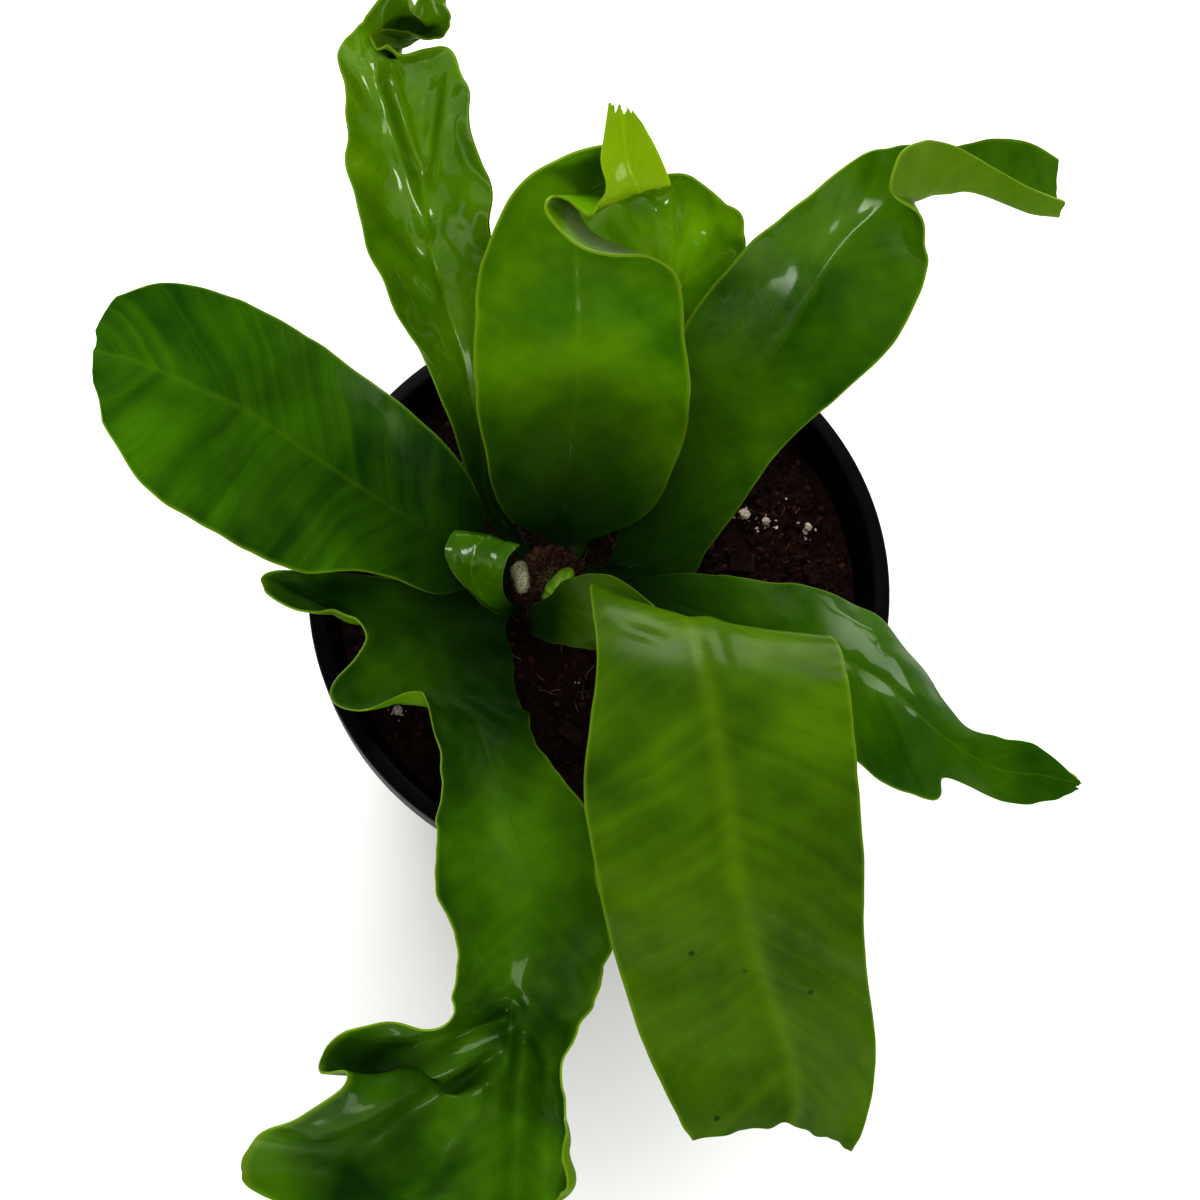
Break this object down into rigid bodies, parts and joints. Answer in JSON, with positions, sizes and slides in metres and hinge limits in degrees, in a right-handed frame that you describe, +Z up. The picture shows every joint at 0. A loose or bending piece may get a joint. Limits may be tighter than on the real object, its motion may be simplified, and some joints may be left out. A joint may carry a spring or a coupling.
{
  "type": "potted fern",
  "caption": "Young strap-leaved fern in a round black nursery pot: an open rosette of glossy, wavy fronds on a short crown in potting soil.",
  "frame": {"origin": "centre of the pot's foot, on the surface that the pot stands on", "axes": "+Z up along the pot's axis, -Y to the front, +X to the right"},
  "size_m": [0.2494, 0.2616, 0.233],
  "materials": {
    "pot_plastic": "moulded, slightly shiny black polypropylene",
    "potting_soil": "damp dark peat and bark fines",
    "perlite": "rough off-white expanded granules",
    "bark": "rough red-brown bark",
    "crown": "dull brown papery scales",
    "young_frond": "pale green, softly shiny",
    "frond": "glossy mid green with a paler midrib and thin pale margin"
  },
  "bodies": {
    "root": {"pot": "pot_plastic", "potting_soil": "potting_soil", "crown": "crown", "crozier_green": "young_frond", "crozier_downy": "crown", "frond_back_left": "frond", "frond_back_centre": "frond", "frond_back": "frond", "frond_back_right": "frond", "frond_left": "frond", "frond_front_left": "frond", "frond_front": "frond", "frond_right": "frond", "frond_young": "frond", "perlite_1": "perlite", "perlite_2": "perlite", "perlite_3": "perlite", "perlite_4": "perlite", "perlite_5": "perlite", "perlite_6": "perlite", "perlite_7": "perlite", "perlite_8": "perlite", "bark_chip_1": "bark", "bark_chip_2": "bark", "bark_chip_3": "bark", "bark_chip_4": "bark", "bark_chip_5": "bark", "bark_chip_6": "bark", "bark_chip_7": "bark", "bark_chip_8": "bark", "bark_chip_9": "bark"}
  },
  "joints": []
}
